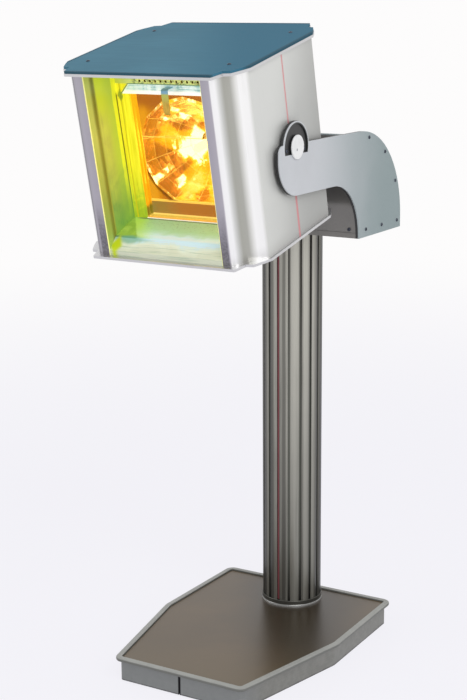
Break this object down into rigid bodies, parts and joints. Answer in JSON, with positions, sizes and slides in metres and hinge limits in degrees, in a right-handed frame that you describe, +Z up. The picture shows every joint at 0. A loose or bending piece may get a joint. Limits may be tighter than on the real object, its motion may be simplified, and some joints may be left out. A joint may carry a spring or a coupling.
{
  "type": "infrared heat therapy lamp",
  "caption": "Table-top infrared therapy lamp: a boxed lamp head tilting in a swan-neck yoke on a fluted column and weighted base.",
  "frame": {"origin": "on the table under the column's axis, at the underside of the base's rubber mat", "axes": "+Z up along the column, -Y towards the side the lamp shines to, +X to the right seen from the front"},
  "size_m": [0.3328, 0.5206, 1.0193],
  "materials": {
    "head_shell": "satin silver anodised",
    "end_plate": "satin silver anodised",
    "teal_cover": "teal lacquer, satin",
    "side_trim": "pale red, satin",
    "column_trim": "dark red, satin",
    "inner_mirror": "bright, lightly brushed",
    "frame_metal": "satin",
    "orange_glass": "polished",
    "clear_glass": "polished",
    "reflector_metal": "mirror bright, faceted",
    "lamp_mounting": "plain",
    "ceramic": "matt cream ceramic",
    "rear_sheet": "satin powder coat",
    "black_plastic": "fine grain",
    "structure_steel": "plain",
    "white_cap": "satin white",
    "dark_screws": "burnished dark",
    "arm_black": "black, satin",
    "arm_grey": "blue-grey, satin",
    "yoke_grey": "warm dark grey, satin",
    "column_metal": "grey anodised, fine brushed",
    "ring_metal": "turned",
    "base_panel": "warm grey, semi-gloss",
    "base_rim": "light grey",
    "base_skirt": "grey anodised",
    "base_steel": "black",
    "base_rubber": "matt"
  },
  "bodies": {
    "stand": {"ballast_plate": "base_steel", "base_deck": "base_skirt", "base_panel": "base_panel", "base_rim": "base_rim", "base_skirt": "base_skirt", "rubber_mat": "base_rubber", "column": "column_metal", "column_bolts": "structure_steel", "column_foot_block": "base_steel", "column_foot_ring": "ring_metal", "column_inlay": "column_trim", "yoke_angles": "structure_steel", "yoke_bolts": "structure_steel", "yoke_bottom_plate": "yoke_grey", "yoke_inner_cover": "yoke_grey", "yoke_outer_cover": "arm_grey", "yoke_screws": "dark_screws", "arm_cover_left": "arm_grey", "arm_cover_right": "arm_grey", "arm_plate_left": "arm_black", "arm_plate_right": "arm_black", "tilt_washers": "black_plastic", "washer_screws": "dark_screws"},
    "head": {"bottom_end_plate": "end_plate", "channel_ceiling": "inner_mirror", "channel_floor": "inner_mirror", "channel_wall_left": "inner_mirror", "channel_wall_right": "inner_mirror", "end_screws": "dark_screws", "fan_frame": "black_plastic", "filter_catch": "frame_metal", "filter_frame": "frame_metal", "halogen_lamp": "clear_glass", "head_side_left": "head_shell", "head_side_right": "head_shell", "heat_glass": "clear_glass", "lamp_bracket": "lamp_mounting", "lamp_holder": "ceramic", "orange_filter": "orange_glass", "pivot_blocks": "structure_steel", "pivot_caps": "white_cap", "pivot_studs": "structure_steel", "power_inlet": "black_plastic", "power_module": "black_plastic", "rear_panel": "rear_sheet", "rear_screws": "dark_screws", "reflector": "reflector_metal", "reflector_plate": "frame_metal", "side_inlays": "side_trim", "switch_housing": "black_plastic", "tie_rods": "structure_steel", "top_cover": "teal_cover", "top_end_plate": "end_plate", "window_panel": "inner_mirror"},
    "fan_rotor": {"fan_rotor": "black_plastic"},
    "switch_rocker": {"switch_rocker": "black_plastic"}
  },
  "joints": [
    {"name": "head_tilt", "type": "hinge", "parent": "stand", "child": "head", "pos_m": [0, -0.2805, 0.85], "axis": [1, 0, 0], "range_deg": [-27, 77.7]},
    {"name": "fan_spin", "type": "hinge", "parent": "head", "child": "fan_rotor", "pos_m": [0, -0.17067, 0.91284], "axis": [0, 0.977, 0.213], "continuous": true},
    {"name": "switch_rock", "type": "hinge", "parent": "head", "child": "switch_rocker", "pos_m": [0.042, -0.12844, 0.7849], "axis": [1, 0, 0], "range_deg": [0, 18]}
  ]
}
